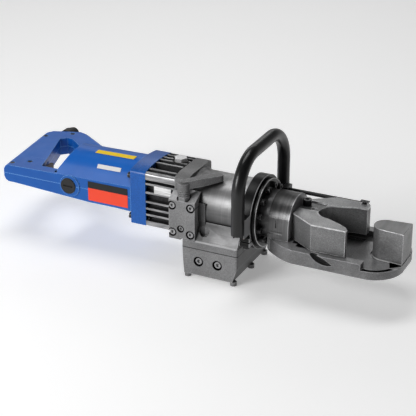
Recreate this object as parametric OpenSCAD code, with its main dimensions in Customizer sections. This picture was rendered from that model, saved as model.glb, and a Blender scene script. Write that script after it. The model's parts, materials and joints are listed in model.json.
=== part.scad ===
// Portable electro-hydraulic rebar bender.
// Origin: floor point under the middle of the feet. +X points to the bending head, +Z up.

/* [Overall] */
// Height of the ram's axis above the floor
axis_z = 100; // [98:0.5:102]

/* [Motor housing] */
// Front end of the motor barrel
barrel_front_x = -138; // [-139:1:-137]
// Rear end of the motor barrel
barrel_rear_x = -266; // [-268:1:-264]
// Half width of the motor barrel
barrel_half_y = 44; // [42:1:46]
// Thickness of the flat D-handle
handle_t = 28; // [26:1:30]
// Wall of the moulded shells
shell_wall = 3.5; // [3:0.5:4]
// Radius of the brush caps
brush_cap_r = 12.5; // [11:0.5:13]

/* [Motor] */
// Outer radius of the field stator
stator_r = 35; // [34:0.5:35.5]
// Radius of the armature core
armature_r = 21; // [19:0.5:21.5]

/* [Oil tank] */
// Rear end of the gear collar
collar_rear_x = -138; // [-139:1:-137]
// Rear end of the finned tank
tank_rear_x = -113; // [-114:1:-112]
// Front end of the finned tank
tank_front_x = -64; // [-65:1:-63]
// Depth of the cooling grooves
fin_depth = 10; // [7:0.5:10]

/* [Cylinder] */
// Outer radius of the main cylinder
cyl_r = 46; // [45:0.5:47]
// Bore radius of the main cylinder
bore_r = 32; // [30:0.5:33]
// Radius of the piston rod
rod_r = 16; // [14:0.5:18]

/* [Base] */
// Half length of the base block
base_half_x = 45; // [42:1:46]
// Half width of the base block
base_half_y = 61; // [59:1:62]
// Height of the seam under the casting
seam_z = 48.5; // [46:0.5:50]
// Height of the feet
foot_h = 6; // [5:0.5:8]

/* [Carry handle] */
// Tube radius of the carry handle
tube_r = 9.5; // [9:0.5:10]
// Half distance between the handle's legs
leg_y = 82.3; // [80:0.5:84]
// Height of the top bar's centre
bar_z = 205; // [190:1:215]
// Centre radius of the two bends
bend_r = 52; // [44:1:56]

/* [Bending head] */
// Front end of the head
head_front_x = 279; // [276:1:282]
// Half width of the head plate
head_half_y = 61; // [59:1:62]
// Underside of the head plate
head_low_z = 58; // [56:1:60]
// Top of the head's side walls
rail_top_z = 79.2; // [78:0.1:79.2]
// Top of the bending fork
fork_top_z = 120; // [116:1:122]
// Top of the fixed post
post_top_z = 117; // [112:1:119]

/* [Hidden] */
$fn = 64;
eps = 0.01;

// Motor housing and armature
handle_low_z = axis_z - handle_t / 2;
screw_places = [[-353, -33], [-330, -18], [-365, 84], [-330, 110], [-279, 79], [-270, -35.5]];
screw_hole_r = 2.05;
cable_x = -349;
brush_x = -245;
bearing_x = [barrel_rear_x + 4, barrel_front_x - 9];
bearing_r = 13;
rear_bore_r = 24;
rear_bore_len = 14;
shaft_r = 5;
stator_x = -228;
stator_len = 56;
fan_x = -166;

// Gears: numbers of teeth, places and widths
gear_module = 1;
pinion_teeth = 8;
lay_gear_teeth = 30;
lay_pinion_teeth = 12;
drive_gear_teeth = 26;
gear_centre = gear_module * (pinion_teeth + lay_gear_teeth) / 2;
lay_z = axis_z + gear_centre;
stage1_w = 9;
stage1_x = collar_rear_x + 5;
stage2_x = stage1_x + stage1_w + 1.5;
stage2_w = 8;
shaft_gap = 0.04;
lobe_offset = 1.5;
lobe_r = 10;
lobe_x = -94;
lobe_w = 12;
plunger_r = 5;
plunger_in_y = lobe_offset + lobe_r + 4 + 0.4;
plunger_out_y = 28.6;

// Crowned section of the collar, tank and front plate
low_z = 60;
shoulder_z = 140;
shoulder_r = 7;
crown_z = 150;
crown_r = 220;
half_y = 44;
plate_far_y = 34;
plate_top_z = 151.5;
plate_rise = 3;
collar_bolt_places = [[-37.5, 134.5], [37.5, 134.5], [-36, 68], [36, 68]];
collar_bolt_r = 3;

// Cooling grooves: the ends of each groove on the sides (z) and on the top (y)
fin_z = [78, 88, 99, 114, 128];
fin_w = 3;
groove_edges = concat([68], [for (z = fin_z) each [z - fin_w / 2, z + fin_w / 2]], [134.5]);
top_fin_y = [-29.5, -8, 5, 16, 29];
top_groove_edges = concat([-38], [for (y = top_fin_y) each [y - fin_w / 2, y + fin_w / 2]], [38]);
filler_y = 15;
filler_x = -83.5;
filler_seat_z = 146.5;

// Cylinder and base
cyl_front_x = 61.5;
plate_front_x = -42;
flange_z = 61;
piston_x = -30;
piston_len = 18;
piston_clear = 0.05;
gland_x = 99;
gland_len = 11;
flange_bolt_count = 12;
flange_pcd_r = 42;
base_screw_x = [-17.6, 12.8];
base_screw_z = 28.5;
base_corner_r = 4;
slope_top_z = 87;
main_bearing_r = 13.3;

// Return spring
spring_turns = 10;
spring_ring = 16;
spring_sides = 8;
spring_r = 22.5;
wire_r = 2.2;
spring_x0 = piston_x + piston_len + wire_r + 0.2;
spring_x1 = gland_x - 0.1 - wire_r;

// Valve block
valve_near_y = -61;
valve_top_z = 120;
valve_rear_x = -65.5;
valve_front_x = -23.6;
valve_screw_places = [[-60.5, 111], [-30.5, 111], [-60, 68.4], [-31, 68.4]];
valve_screw_end_y = -38;
lever_x = -44;
lever_y = -54;
lever_angle = 40;

// Carry handle
handle_x = 54.7;
leg_low_z = 97;
ring_rear_x = 45;
ring_r = 55.5;

// Bending head
neck_front_x = 114;
neck_half_y = 39;
neck_top_z = 137;
floor_z = 70;
rail_in_y = 47;
rail_front_x = 231;
corner_r = 45;
fork_low_z = 79.5;
fork_rear_x = 115.5;
post_nose_x = 228.4;
post_nose_r = 17.6;
post_seat_depth = 1.5;
rod_y = 57;
rod_z = 115;
rod_bar_r = 3;
rod_rear_x = -25;
slot_depth = 2;
notch_x = 167;
notch_r = 22;
set_bolt_place = [122, 12];
rod_bolt_place = [196, 47.5];

module along_x(x, y, z) {
    translate([x, y, z]) rotate([0, 90, 0]) children();
}

module along_y(x, y, z) {
    translate([x, y, z]) rotate([-90, 0, 0]) children();
}

// A socket-head screw whose head is at z = 0..head_h and whose shank points down
module socket_screw(head_r, head_h, shank_r, shank_l) {
    difference() {
        cylinder(r = head_r, h = head_h, $fn = 32);
        translate([0, 0, head_h * 0.3]) cylinder(r = head_r * 0.6, h = head_h, $fn = 6);
    }
    translate([0, 0, -shank_l]) cylinder(r = shank_r, h = shank_l + eps, $fn = 24);
}

// Crowned cross-section with rounded shoulders, drawn with Y to the right and Z up, inset by a wall
module crown_section(inset) {
    intersection() {
        union() {
            translate([-half_y + inset, low_z + inset])
                square([2 * (half_y - inset), shoulder_z - low_z - inset]);
            translate([-half_y + shoulder_r, low_z + inset])
                square([2 * (half_y - shoulder_r), crown_z - low_z - 2 * inset]);
            for (side = [-1, 1]) translate([side * (half_y - shoulder_r), shoulder_z])
                circle(r = shoulder_r - inset);
        }
        translate([0, crown_z - crown_r]) circle(r = crown_r - inset, $fn = 240);
    }
}

// A solid whose cross-section is drawn in Y and Z and that runs along X
module section_x(x, length) {
    translate([x, 0, 0]) rotate([90, 0, 90]) linear_extrude(length) children();
}

// Spur gear outline: straight-sided teeth between the root and tip circles
module gear_outline(teeth, turn) {
    pitch_r = gear_module * teeth / 2;
    root_r = pitch_r - 1.25 * gear_module;
    tip_r = pitch_r + 0.85 * gear_module;
    step = 360 / teeth;
    points = [for (i = [0 : teeth - 1]) for (k = [[-0.31, root_r], [-0.11, tip_r], [0.11, tip_r],
        [0.31, root_r]])
        let (a = turn + (i + k[0]) * step) [k[1] * cos(a), k[1] * sin(a)]];
    polygon(points);
}

module gear(x, z, width, teeth, turn) {
    along_x(x, 0, z) rotate([0, 0, 180]) linear_extrude(width) gear_outline(teeth, turn);
}

// ---- Motor housing ----

// Outline of the handle seen from above, at its flat faces
module handle_plan() {
    difference() {
        polygon([[-355, -44], [barrel_front_x, -44], [barrel_front_x, 44], [-196, 44],
            [-312, 119], [-322, 122], [-364, 107], [-370, 98], [-356, -38]]);
        handle_window();
    }
}

// The finger opening of the D-handle
module handle_window() {
    polygon([[-303, -27], [-268, -27], [-266, -24], [-266, 48], [-318, 90], [-328, 91], [-337, 82]]);
}

// One rounded bar of the handle between two outlines
module round_bar(outline) {
    hull() {
        translate([0, 0, handle_low_z]) linear_extrude(handle_t) polygon(outline);
        translate([0, 0, handle_low_z + 3])
            linear_extrude(handle_t - 6) offset(r = 4.5, $fn = 24) polygon(outline);
        translate([0, 0, handle_low_z + 8])
            linear_extrude(handle_t - 16) offset(r = 7, $fn = 24) polygon(outline);
    }
}

// Section of the motor barrel: flat flanks, a humped top and a round belly of radius belly_r
module barrel_section(top_drop, belly_r) {
    polygon([[-44, 90], [-44, 118 - top_drop], [-35, 131 - top_drop], [-26, 143 - top_drop],
        [-14, 149 - top_drop], [0, 149.8 - top_drop], [14, 149 - top_drop], [26, 143 - top_drop],
        [35, 131 - top_drop], [44, 118 - top_drop], [44, 90]]);
    translate([0, axis_z]) circle(r = belly_r, $fn = 48);
}

// Side view of the straight near flank, which grows deeper towards the collar
module flank_profile() {
    polygon([[-344, handle_low_z], [-211, 78.8], [barrel_front_x, 78.8], [barrel_front_x, 118.2],
        [-344, handle_low_z + handle_t]]);
}

module housing_solid() {
    difference() {
        union() {
            round_bar([[-355, -44], [-356, -38], [-370, 98], [-364, 107], [-328, 94], [-300, -20],
                [-303, -44]]);
            round_bar([[-322, 122], [-312, 119], [-196, 40], [-240, 20], [-330, 80], [-364, 107]]);
            rotate([90, 0, 0]) linear_extrude(barrel_half_y) flank_profile();
            hull() {
                section_x(barrel_front_x - 1, 1) barrel_section(0, 41);
                section_x(barrel_rear_x, 1) barrel_section(2, 36.5);
            }
        }
        translate([0, 0, handle_low_z - 20]) linear_extrude(handle_t + 60) handle_window();
        translate([-400, -60, handle_low_z - 30]) cube([300, 60 - barrel_half_y, 120]);
        rotate([90, 0, 0]) linear_extrude(2 * barrel_half_y + 20, center = true) rear_slant();
        along_x(barrel_rear_x + 4, 0, axis_z) cylinder(r = rear_bore_r, h = rear_bore_len);
        along_x(barrel_rear_x + 3 + rear_bore_len, 0, axis_z) cylinder(r = stator_r + 0.1, h = 200);
        translate([0, 0, handle_low_z + shell_wall])
            linear_extrude(handle_t - 2 * shell_wall) offset(delta = -shell_wall) handle_plan();
        translate([-315, -25, axis_z - 7.5]) cube([19, 36, 15]);
        along_y(brush_x, -60, axis_z) cylinder(r = brush_cap_r - 1.5, h = 120);
        for (y = [-60, 39 - eps]) along_y(brush_x, y, axis_z) cylinder(r = brush_cap_r + 0.02, h = 21 + eps);
        for (p = collar_bolt_places)
            along_x(collar_rear_x - 6.5, p[0], p[1]) cylinder(r = 5, h = 10, $fn = 32);
        along_y(cable_x, 90, axis_z) cylinder(r = 9.05, h = 40);
        along_y(cable_x, 119.2 - eps, axis_z) cylinder(r = 13.05, h = 20);
        housing_recesses();
    }
    for (side = [-1, 1]) brush_boss(side);
    bearing_seat(bearing_x[0], rear_bore_r + 0.5);
    bearing_seat(bearing_x[1], stator_r + 0.5);
}

// Everything above the slanted rear end of the barrel's top
module rear_slant() {
    polygon([[barrel_rear_x - 4, 115.7], [barrel_rear_x + 26, 162.9], [barrel_rear_x - 4, 162.9]]);
}

// Ring that carries one armature bearing inside the barrel
module bearing_seat(x, outer_r) {
    along_x(x, 0, axis_z) difference() {
        cylinder(r = outer_r, h = 8);
        translate([0, 0, -1]) cylinder(r = bearing_r, h = 10);
    }
}

module housing_recesses() {
    for (p = screw_places) {
        translate([p[0], p[1], handle_low_z + handle_t - 3]) cylinder(r = 4.2, h = 20, $fn = 32);
        translate([p[0], p[1], handle_low_z - 10]) cylinder(r = screw_hole_r, h = handle_t + 8, $fn = 32);
    }
}

module brush_boss(side) {
    difference() {
        along_y(brush_x + 2, side > 0 ? barrel_half_y - 6 : -barrel_half_y - 1.5, axis_z)
            cylinder(r = 17, h = 7.5);
        along_y(brush_x, side > 0 ? 30 : -60, axis_z) cylinder(r = brush_cap_r + 0.02, h = 30);
    }
}

module screw_bosses() {
    for (p = screw_places) {
        translate([p[0], p[1], handle_low_z + 1]) difference() {
            cylinder(r = 5.5, h = handle_t - 4, $fn = 32);
            translate([0, 0, -1]) cylinder(r = screw_hole_r, h = handle_t, $fn = 32);
        }
    }
}

module half_space(upper) {
    translate([-420, -80, upper ? axis_z : axis_z - 80]) cube([400, 280, 80]);
}

module housing_lower() {
    color("royalblue") intersection() {
        union() {
            housing_solid();
            screw_bosses();
        }
        half_space(false);
    }
}

module housing_upper() {
    color("royalblue") intersection() {
        union() {
            housing_solid();
            screw_bosses();
        }
        half_space(true);
    }
}

module housing_screws() {
    color("dimgray") for (p = screw_places) {
        translate([p[0], p[1], handle_low_z + handle_t - 3]) socket_screw(3.8, 2.2, 2, handle_t - 6);
    }
}

module trigger() {
    color("saddlebrown") translate([0, 0, axis_z - 6.8]) linear_extrude(13.6)
        polygon([[-309, -24], [-291, -24], [-289.5, -20], [-292, -11], [-299, -2], [-303.5, 8], [-309, 8]]);
}

module trigger_switch() {
    color("black") translate([-343, -11, axis_z - 8]) cube([22, 23, 16]);
}

module brush_caps() {
    color("black") for (side = [-1, 1]) {
        along_y(brush_x, side > 0 ? 39 : -47, axis_z) difference() {
            cylinder(r = brush_cap_r, h = 8);
            translate([-8, -1.2, side > 0 ? 6.5 : -1]) cube([16, 2.4, 2.5]);
        }
    }
}

module carbon_brushes() {
    color("darkgray") for (side = [-1, 1]) {
        translate([brush_x - 4, side > 0 ? 12.4 : -39, axis_z - 4]) cube([8, 26.6, 8]);
    }
}

module cable_gland() {
    color("black") along_y(cable_x, 100, axis_z) difference() {
        union() {
            cylinder(r = 9, h = 30);
            translate([0, 0, 19.2]) cylinder(r = 13, h = 14);
            for (i = [0 : 2]) translate([0, 0, 35.5 + i * 4]) cylinder(r = 11.5 - i, h = 2.5);
            translate([0, 0, 30]) cylinder(r = 8.5, h = 16);
        }
        translate([0, 0, -1]) cylinder(r = 4.5, h = 60);
    }
}

module field_stator() {
    color("gray") along_x(stator_x, 0, axis_z) difference() {
        cylinder(r = stator_r, h = stator_len);
        translate([0, 0, -1]) cylinder(r = armature_r + 0.8, h = stator_len + 2);
        for (side = [-1, 1]) translate([-13, side > 0 ? 15 : -27, -1]) cube([26, 12, stator_len + 2]);
    }
}

module stator_coils() {
    color("chocolate") for (side = [-1, 1]) {
        translate([stator_x - 4, side > 0 ? 22.3 : -26.8, axis_z - 12.8]) cube([stator_len + 8, 4.5, 25.6]);
    }
}

module armature_core() {
    color("peru") along_x(stator_x + 2, 0, axis_z) difference() {
        union() {
            cylinder(r = armature_r, h = stator_len - 4);
            translate([0, 0, -6]) cylinder(r1 = 14, r2 = 18, h = 6.5);
            translate([0, 0, stator_len - 4.5]) cylinder(r1 = 18, r2 = 14, h = 6.5);
        }
        translate([0, 0, -10]) cylinder(r = shaft_r - shaft_gap, h = 90);
    }
}

module armature_shaft() {
    color("silver") {
        along_x(-261, 0, axis_z) cylinder(r = shaft_r - shaft_gap, h = stage1_x - 2 + 261);
        along_x(stage1_x - 2 - eps, 0, axis_z) cylinder(r = 2.7, h = 2.1);
        gear(stage1_x, axis_z, stage1_w, pinion_teeth, 0);
    }
}

module commutator() {
    color("goldenrod") along_x(brush_x - 6, 0, axis_z) difference() {
        cylinder(r = 12, h = 12);
        translate([0, 0, -1]) cylinder(r = shaft_r - shaft_gap, h = 14);
    }
}

module cooling_fan() {
    color("whitesmoke") {
        along_x(fan_x, 0, axis_z) difference() {
            union() {
                cylinder(r = 9, h = 14);
                translate([0, 0, 12]) cylinder(r = 31, h = 2);
            }
            translate([0, 0, -1]) cylinder(r = shaft_r - shaft_gap, h = 20);
        }
        for (i = [0 : 10]) along_x(fan_x, 0, axis_z) rotate([0, 0, i * 360 / 11])
            translate([8.5, -1, 2]) cube([22, 2, 10.5]);
    }
}

module armature_bearings() {
    color("silver") for (x = bearing_x) {
        along_x(x, 0, axis_z) difference() {
            cylinder(r = bearing_r, h = 8);
            translate([0, 0, -1]) cylinder(r = shaft_r, h = 10);
        }
    }
}

// ---- Gear collar, layshaft and pump ----

module gear_collar() {
    color("royalblue") difference() {
        section_x(collar_rear_x, tank_rear_x - collar_rear_x) crown_section(0);
        section_x(collar_rear_x + 4, 40) crown_section(4);
        along_x(collar_rear_x - 1, 0, axis_z) cylinder(r = 10, h = 10);
        along_x(collar_rear_x - 1, 0, lay_z) cylinder(r = 5.5, h = 10);
        for (p = collar_bolt_places)
            along_x(collar_rear_x - 1, p[0], p[1]) cylinder(r = collar_bolt_r + 0.05, h = 30, $fn = 32);
    }
}

module collar_bolts() {
    color("dimgray") for (p = collar_bolt_places) {
        along_x(collar_rear_x, p[0], p[1]) rotate([180, 0, 0]) socket_screw(4.5, 6, collar_bolt_r, 28);
    }
}

module layshaft() {
    color("silver") {
        along_x(collar_rear_x + 1, 0, lay_z) cylinder(r = 4 - shaft_gap, h = 27);
        gear(stage2_x, lay_z, stage2_w, lay_pinion_teeth, 0);
    }
}

module lay_gear() {
    color("silver") difference() {
        gear(stage1_x, lay_z, stage1_w, lay_gear_teeth, 180 / lay_gear_teeth);
        along_x(stage1_x - 1, 0, lay_z) cylinder(r = 4 - shaft_gap, h = 20);
    }
}

module lay_bushes() {
    color("goldenrod") for (x = [collar_rear_x, tank_rear_x - 1]) {
        along_x(x, 0, lay_z) difference() {
            cylinder(r = 5.5, h = 4);
            translate([0, 0, -1]) cylinder(r = 4, h = 6);
        }
    }
}

module eccentric_shaft() {
    color("silver") {
        along_x(stage2_x, 0, axis_z) cylinder(r = 7.5 - shaft_gap, h = lobe_x - stage2_x + eps);
        along_x(lobe_x, 0, axis_z + lobe_offset) cylinder(r = lobe_r, h = lobe_w);
        along_x(lobe_x + lobe_w - eps, 0, axis_z) cylinder(r = 6 - shaft_gap, h = 10);
    }
}

module drive_gear() {
    color("silver") difference() {
        gear(stage2_x, axis_z, stage2_w, drive_gear_teeth, 180 / drive_gear_teeth);
        along_x(stage2_x - 1, 0, axis_z) cylinder(r = 7.5 - shaft_gap, h = 20);
    }
}

module eccentric_bearing() {
    color("silver") along_x(lobe_x, 0, axis_z + lobe_offset) difference() {
        cylinder(r = lobe_r + 4, h = lobe_w);
        translate([0, 0, -1]) cylinder(r = lobe_r, h = lobe_w + 2);
    }
}

module main_bearing() {
    color("silver") along_x(tank_rear_x + 1, 0, axis_z) difference() {
        cylinder(r = main_bearing_r, h = 9);
        translate([0, 0, -1]) cylinder(r = 7.5, h = 11);
    }
}

module pump_block() {
    color("gray") difference() {
        translate([-97, -31, axis_z - 20]) cube([28, 62, 40]);
        along_x(-98, 0, axis_z) cylinder(r = lobe_offset + lobe_r + 4.6, h = 17);
        along_x(-98, 0, axis_z) cylinder(r = 6, h = 40);
        along_y(lobe_x + lobe_w / 2, -32, axis_z) cylinder(r = plunger_r, h = 64);
    }
}

module plunger(side) {
    along_y(lobe_x + lobe_w / 2, side > 0 ? plunger_in_y : -plunger_out_y, axis_z)
        cylinder(r = plunger_r - shaft_gap, h = plunger_out_y - plunger_in_y);
}

module pump_plunger_near() {
    color("silver") plunger(-1);
}

module pump_plunger_far() {
    color("silver") plunger(1);
}

module oil_tank() {
    color("lightgray") difference() {
        section_x(tank_rear_x, tank_front_x - tank_rear_x) crown_section(0.5);
        translate([tank_rear_x + 9, -32, low_z + 5]) cube([60, 64, 70]);
        tank_grooves();
        along_x(tank_rear_x - 1, 0, axis_z) cylinder(r = main_bearing_r, h = 12);
        along_x(tank_rear_x - 1, 0, lay_z) cylinder(r = 5.5, h = 4.05);
        for (p = collar_bolt_places)
            along_x(tank_rear_x - 1, p[0], p[1]) cylinder(r = collar_bolt_r + 0.05, h = 6, $fn = 32);
        translate([filler_x, filler_y, 130]) cylinder(r = 6, h = 40);
        translate([filler_x, filler_y, filler_seat_z]) cylinder(r = 13, h = 10);
        translate([tank_front_x - 4, -38, 138]) cube([10, 76, 30]);
    }
    color("lightgray") for (side = [-1, 1])
        translate([-98, side > 0 ? 33 : -44.5, 115.5]) cube([28, 11.5, 11]);
}

module tank_grooves() {
    length = tank_front_x - tank_rear_x - 4;
    for (i = [0 : 2 : len(groove_edges) - 2]) {
        for (side = [-1, 1]) {
            translate([tank_rear_x - 1, side > 0 ? half_y - fin_depth : -50, groove_edges[i]])
                cube([length + 13, 6 + fin_depth, groove_edges[i + 1] - groove_edges[i]]);
        }
    }
    for (i = [0 : 2 : len(top_groove_edges) - 2]) {
        translate([tank_rear_x - 1, top_groove_edges[i], 138])
            cube([length + 1, top_groove_edges[i + 1] - top_groove_edges[i], 30]);
    }
}

module filler_plug() {
    color("silver") {
        translate([filler_x, filler_y, filler_seat_z + 1.5]) cylinder(r = 10.1, h = 6, $fn = 6);
        translate([filler_x, filler_y, 136]) cylinder(r = 6, h = 12.5, $fn = 32);
    }
}

module filler_washer() {
    color("black") translate([filler_x, filler_y, filler_seat_z]) difference() {
        cylinder(r = 11, h = 1.5);
        translate([0, 0, -1]) cylinder(r = 6, h = 4);
    }
}

// ---- Cylinder, base and valve block ----

module cylinder_body() {
    color("darkgray") difference() {
        union() {
            section_x(tank_front_x, plate_front_x - tank_front_x) plate_section();
            along_x(plate_front_x - eps, 0, axis_z) cylinder(r = cyl_r, h = cyl_front_x - plate_front_x);
            along_x(plate_front_x - eps, 0, axis_z) cylinder(r1 = 49, r2 = cyl_r, h = 7, $fn = 96);
            casting_flange();
            casting_slope();
            section_x(plate_front_x, 80) web_section();
            translate([plate_front_x - 1, -47.5, flange_z - 1]) cube([30, 40, 56]);
        }
        along_x(-34, 0, axis_z) cylinder(r = bore_r, h = 100);
        for (i = [0 : flange_bolt_count - 1]) flange_bolt_hole(i);
        for (p = valve_screw_places)
            along_y(p[0], valve_near_y, p[1])
                cylinder(r = 2.5, h = valve_screw_end_y - valve_near_y + 1, $fn = 32);
    }
}

module plate_section() {
    far_y = plate_far_y - shoulder_r;
    intersection() {
        crown_section(-plate_rise);
        union() {
            translate([-half_y, low_z]) square([half_y + plate_far_y, plate_top_z - shoulder_r - low_z]);
            translate([-half_y, low_z]) square([half_y + far_y, plate_top_z - low_z]);
            translate([far_y, plate_top_z - shoulder_r]) circle(r = shoulder_r);
        }
    }
}

// Plan of the base with its rounded corners
module base_plan() {
    square([2 * base_half_x, 2 * (base_half_y - base_corner_r)], center = true);
    square([2 * (base_half_x - base_corner_r), 2 * base_half_y], center = true);
    for (x = [-1, 1]) for (y = [-1, 1])
        translate([x * (base_half_x - base_corner_r),
            y * (base_half_y - base_corner_r)]) circle(r = base_corner_r, $fn = 48);
}

module casting_flange() {
    difference() {
        translate([0, 0, seam_z]) linear_extrude(flange_z - seam_z) base_plan();
        for (side = [-1, 1]) translate([0, side * (base_half_y + 0.5), flange_z]) rotate([45, 0, 0])
            cube([200, 3, 3], center = true);
        translate([base_half_x, 0, flange_z]) rotate([0, 45, 0]) cube([3, 200, 3], center = true);
    }
}

// Sloping sides of the casting from the edge of the flange up to the cylinder, scooped out near the valve
module casting_slope() {
    difference() {
        intersection() {
            section_x(valve_front_x + 0.6, base_half_x - 2 - valve_front_x)
                polygon([[-base_half_y + 2.2, flange_z - 1], [-base_half_y + 2.2, flange_z], [-45.5,
                    slope_top_z],
                    [45.5, slope_top_z], [base_half_y - 2.2, flange_z], [base_half_y - 2.2, flange_z - 1]]);
            linear_extrude(slope_top_z + 1) base_plan();
        }
        for (side = [-1, 1]) along_y(-12, side > 0 ? 49 : -61, 75) cylinder(r = 8, h = 12, $fn = 48);
    }
}

// Ribbed web that carries the cylinder on the flange
module web_section() {
    difference() {
        translate([-43, flange_z - 1]) square([86, 35]);
        for (side = [-1, 1]) translate([side * 53, flange_z + 6]) circle(r = 14);
        for (side = [-1, 1]) translate([side * 49, 92.5]) circle(r = 7.5);
    }
}

module flange_bolt_hole(i) {
    angle = (i + 0.5) * 360 / flange_bolt_count;
    along_x(44, flange_pcd_r * cos(angle), axis_z + flange_pcd_r * sin(angle))
        cylinder(r = 3, h = 60, $fn = 32);
}

module piston() {
    color("silver") along_x(piston_x, 0, axis_z) difference() {
        cylinder(r = bore_r - piston_clear, h = piston_len);
        translate([0, 0, 7]) difference() {
            cylinder(r = bore_r + 1, h = 5);
            translate([0, 0, -1]) cylinder(r = bore_r - 3, h = 7);
        }
        translate([0, 0, 4]) cylinder(r = rod_r, h = 20);
    }
}

module piston_seal() {
    color("black") along_x(piston_x + 7, 0, axis_z) difference() {
        cylinder(r = bore_r - piston_clear, h = 5);
        translate([0, 0, -1]) cylinder(r = bore_r - 3, h = 7);
    }
}

module piston_rod() {
    color("silver") difference() {
        along_x(piston_x + 4, 0, axis_z) cylinder(r = rod_r, h = fork_rear_x + 16 - piston_x - 4);
        translate([set_bolt_place[0], set_bolt_place[1], fork_top_z - 14]) cylinder(r = 4, h = 20);
    }
}

// Coil spring between the piston and the gland, swept as one closed tube
module return_spring() {
    rings = spring_turns * spring_ring;
    points = [for (i = [0 : rings]) let (a = i * 360 / spring_ring)
        for (k = [0 : spring_sides - 1]) let (b = k * 360 / spring_sides, r = spring_r + wire_r * cos(b))
            [spring_x0 + (spring_x1 - spring_x0) * i / rings + wire_r * sin(b), r * cos(a),
                axis_z + r * sin(a)]];
    sides = [for (i = [0 : rings - 1]) for (k = [0 : spring_sides - 1])
        let (n = (k + 1) % spring_sides, a = i * spring_sides) [a + k, a + n, a + spring_sides + n,
            a + spring_sides + k]];
    cap0 = [for (k = [spring_sides - 1 : -1 : 0]) k];
    cap1 = [for (k = [0 : spring_sides - 1]) rings * spring_sides + k];
    color("dimgray") polyhedron(points, concat([cap0], sides, [cap1]));
}

module rod_gland() {
    color("goldenrod") along_x(gland_x, 0, axis_z) difference() {
        cylinder(r = 28, h = gland_len);
        translate([0, 0, -1]) cylinder(r = rod_r + 0.05, h = 20);
    }
}

module base_block() {
    color("gray") difference() {
        intersection() {
            translate([0, base_half_y, 0]) rotate([90, 0, 0]) linear_extrude(2 * base_half_y)
                polygon([[-base_half_x, seam_z], [-base_half_x + 4, foot_h], [base_half_x - 8, foot_h],
                    [base_half_x, seam_z - 18], [base_half_x, seam_z]]);
            linear_extrude(seam_z) base_plan();
        }
        for (x = base_screw_x) for (side = [-1, 1])
            along_y(x, side > 0 ? base_half_y - 7 : -base_half_y - 1, base_screw_z)
                cylinder(r = 6.8, h = 8, $fn = 48);
        for (x = base_screw_x)
            along_y(x, -base_half_y + 6, base_screw_z) cylinder(r = 3, h = 2 * base_half_y - 12);
    }
}

module base_screws() {
    color("dimgray") for (x = base_screw_x) for (side = [-1, 1]) {
        translate([x, side * (base_half_y - 7), base_screw_z]) rotate([side > 0 ? -90 : 90, 0, 0])
            socket_screw(5, 5.5, 3, 20);
    }
}

module feet() {
    color("dimgray") {
        for (x = [-37, 37]) for (y = [-56, 7, 56]) translate([x, y, 0]) cylinder(r = 5, h = foot_h);
        cylinder(r = 9, h = foot_h);
    }
}

module valve_block() {
    color("darkgray") difference() {
        section_x(valve_rear_x, valve_front_x - valve_rear_x)
            polygon([[valve_near_y, head_low_z], [valve_near_y, valve_top_z], [valve_near_y + 23,
                valve_top_z + 11],
                [valve_near_y + 45, valve_top_z + 11], [valve_near_y + 45, head_low_z]]);
        along_x(plate_front_x - 1, 0, axis_z) cylinder(r = 49.4, h = 60, $fn = 96);
        translate([tank_rear_x, -44, 40]) cube([plate_front_x - tank_rear_x, 100, 120]);
        translate([-base_half_x - 1.7, -80, 40]) cube([60, 100, flange_z - 40]);
        translate([plate_front_x - 1, -47.5, 40]) cube([30, 60, flange_z + 55 - 40]);
        for (p = valve_screw_places) {
            along_y(p[0], valve_near_y - 1, p[1]) cylinder(r = 6, h = 6, $fn = 40);
            along_y(p[0], valve_near_y, p[1])
                cylinder(r = 2.5, h = valve_screw_end_y - valve_near_y + 1, $fn = 32);
        }
        along_y(-46.5, valve_near_y - 1, 75.5) cylinder(r = 4, h = 9, $fn = 40);
        translate([lever_x, lever_y, 90]) cylinder(r = 4, h = 40);
        translate([lever_x, lever_y, valve_top_z]) cylinder(r = 10.5, h = 20);
    }
}

module valve_screws() {
    color("dimgray") for (p = valve_screw_places) {
        translate([p[0], valve_near_y + 5, p[1]]) rotate([90, 0, 0])
            socket_screw(4.4, 4.2, 2.5, valve_screw_end_y - valve_near_y - 5);
    }
}

module valve_plug() {
    color("dimgray") translate([-46.5, valve_near_y + 8, 75.5]) rotate([90, 0, 0]) difference() {
        cylinder(r = 4, h = 6.5, $fn = 40);
        translate([0, 0, 3]) cylinder(r = 2.2, h = 5, $fn = 6);
    }
}

module release_spindle() {
    color("silver") translate([lever_x, lever_y, 92]) {
        cylinder(r = 4 - shaft_gap, h = 40);
        translate([0, 0, 28.4]) cylinder(r = 9, h = 6, $fn = 6);
    }
}

module release_lever() {
    color("gray") translate([lever_x, lever_y, 0]) rotate([0, 0, lever_angle]) difference() {
        union() {
            translate([0, 0, 127]) cylinder(r = 9.3, h = 20.5);
            hull() {
                translate([0, 0, 138]) cylinder(r = 5.2, h = 12, $fn = 32);
                translate([30, 0, 141.5]) cylinder(r = 6.8, h = 12, $fn = 32);
                translate([53, 0, 145]) cylinder(r = 6, h = 9.5, $fn = 32);
            }
        }
        for (z = [128.5, 131.5, 134.5]) translate([0, 0, z]) difference() {
            cylinder(r = 12, h = 1.4);
            translate([0, 0, -1]) cylinder(r = 8, h = 4);
        }
        translate([0, 0, 120]) cylinder(r = 4 - shaft_gap, h = 12);
    }
}

// ---- Carry handle ----

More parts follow.
